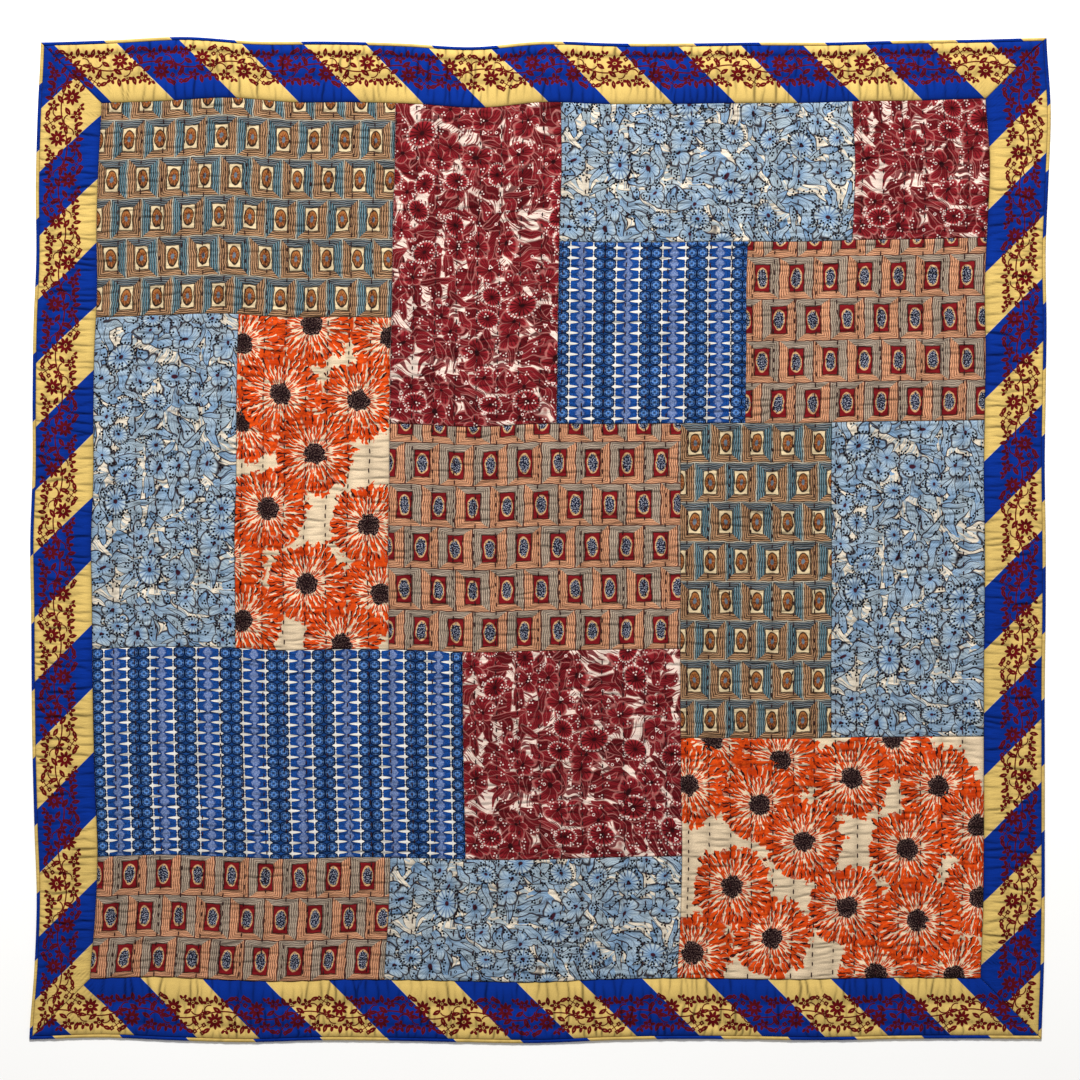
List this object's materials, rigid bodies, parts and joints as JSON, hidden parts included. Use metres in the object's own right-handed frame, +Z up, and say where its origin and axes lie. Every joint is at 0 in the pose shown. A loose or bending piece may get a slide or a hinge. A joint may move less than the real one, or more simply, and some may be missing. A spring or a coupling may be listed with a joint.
{
  "type": "quilted patchwork bedspread",
  "caption": "Square quilted bedspread laid out flat: rectangular patches of printed cotton, a mitred striped border and a narrow folded binding.",
  "frame": {"origin": "middle of the outline, on the surface it lies on", "axes": "+Z up out of the printed face, +Y towards the upper border, +X towards the right border"},
  "size_m": [2.216, 2.183, 0.0063],
  "materials": {
    "teal_frames": "printed plain-weave cotton, quilted with running stitches",
    "burgundy_floral": "printed plain-weave cotton, quilted with running stitches",
    "sky_floral": "printed plain-weave cotton, quilted with running stitches",
    "blue_columns": "printed plain-weave cotton, quilted with running stitches",
    "salmon_frames": "printed plain-weave cotton, quilted with running stitches",
    "orange_flowers": "printed plain-weave cotton, quilted with running stitches",
    "striped_border": "printed plain-weave cotton, quilted with running stitches",
    "striped_binding": "printed plain-weave cotton, quilted with running stitches"
  },
  "bodies": {
    "root": {"patch_01_teal_frames": "teal_frames", "patch_02_burgundy_floral": "burgundy_floral", "patch_03_sky_floral": "sky_floral", "patch_04_burgundy_floral": "burgundy_floral", "patch_05_blue_columns": "blue_columns", "patch_06_salmon_frames": "salmon_frames", "patch_07_sky_floral": "sky_floral", "patch_08_orange_flowers": "orange_flowers", "patch_09_salmon_frames": "salmon_frames", "patch_10_teal_frames": "teal_frames", "patch_11_sky_floral": "sky_floral", "patch_12_blue_columns": "blue_columns", "patch_13_burgundy_floral": "burgundy_floral", "patch_14_salmon_frames": "salmon_frames", "patch_15_sky_floral": "sky_floral", "patch_16_orange_flowers": "orange_flowers", "border_lower": "striped_border", "binding_lower": "striped_binding", "border_right": "striped_border", "binding_right": "striped_binding", "border_upper": "striped_border", "binding_upper": "striped_binding", "border_left": "striped_border", "binding_left": "striped_binding"}
  },
  "joints": []
}
